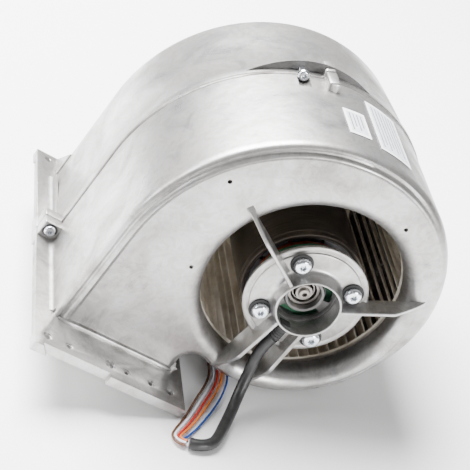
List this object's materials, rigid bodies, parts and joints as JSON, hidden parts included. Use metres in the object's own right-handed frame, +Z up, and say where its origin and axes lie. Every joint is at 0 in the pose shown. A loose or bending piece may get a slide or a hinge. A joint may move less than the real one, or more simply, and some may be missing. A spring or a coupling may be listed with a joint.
{
  "type": "centrifugal blower",
  "caption": "Single-inlet centrifugal boiler blower: cast scroll housing with outlet flange, outer-rotor motor on a finned spider in the inlet, forward-curved wheel and sleeved lead.",
  "frame": {"origin": "under the middle of the blower, on the surface it rests on, measured without the lead", "axes": "+Z up, -Y out of the inlet along the fan axis, +X across the blower away from the outlet flange; the outlet points down and towards -X"},
  "size_m": [0.2726, 0.3008, 0.2145],
  "materials": {
    "cast": "as-cast satin",
    "zinc": "bright zinc plate",
    "steel": "ground",
    "rotor": "dark drawn steel",
    "wheel": "galvanised sheet",
    "core": "lamination edges",
    "copper": "enamelled winding",
    "magnet": "ferrite",
    "board": "circuit board",
    "plastic": "moulded",
    "black": "satin",
    "rubber": "moulded",
    "label": "printed film, left blank",
    "wire_1": "wire insulation",
    "wire_2": "wire insulation",
    "wire_3": "wire insulation",
    "wire_4": "wire insulation",
    "wire_5": "wire insulation"
  },
  "bodies": {
    "housing": {"bearing_front_outer": "steel", "bearing_rear_outer": "steel", "board_capacitor": "black", "cable_gland": "rubber", "cable_sleeve": "black", "connector": "plastic", "control_board": "board", "driver_chip": "black", "housing_front": "cast", "housing_rear": "cast", "housing_screw_1": "zinc", "housing_screw_2": "zinc", "housing_screw_3": "zinc", "housing_screw_4": "zinc", "insulator_front": "plastic", "insulator_rear": "plastic", "label_large": "label", "label_small": "label", "motor_flange": "cast", "motor_grommet_1": "rubber", "motor_grommet_2": "rubber", "motor_grommet_3": "rubber", "motor_grommet_4": "rubber", "motor_screw_1": "zinc", "motor_screw_2": "zinc", "motor_screw_3": "zinc", "motor_screw_4": "zinc", "spring_washer": "steel", "stator_core": "core", "stator_winding": "copper", "wire_1": "wire_1", "wire_2": "wire_2", "wire_3": "wire_3", "wire_4": "wire_4", "wire_5": "wire_5"},
    "rotor": {"shaft": "steel", "shaft_clip": "steel", "rotor_cup": "rotor", "magnet_ring": "magnet", "wheel_hub": "wheel", "wheel_blades": "wheel", "wheel_ring": "wheel", "wheel_rivet_1": "zinc", "wheel_rivet_2": "zinc", "wheel_rivet_3": "zinc", "wheel_rivet_4": "zinc", "balance_clip_1": "zinc", "balance_clip_2": "zinc", "bearing_front_inner": "steel", "bearing_rear_inner": "steel"},
    "ball_cages": {"bearing_front_balls": "steel", "bearing_rear_balls": "steel"}
  },
  "joints": [
    {"name": "rotor_spin", "type": "hinge", "parent": "housing", "child": "rotor", "pos_m": [0.0414, 0, 0.08699], "axis": [0, -1, 0], "continuous": true},
    {"name": "cage_spin", "type": "hinge", "parent": "housing", "child": "ball_cages", "pos_m": [0.0414, 0, 0.08699], "axis": [0, -1, 0], "continuous": true}
  ],
  "couplings": [
    {"joint": "cage_spin", "follows": "rotor_spin", "ratio": 0.408}
  ]
}
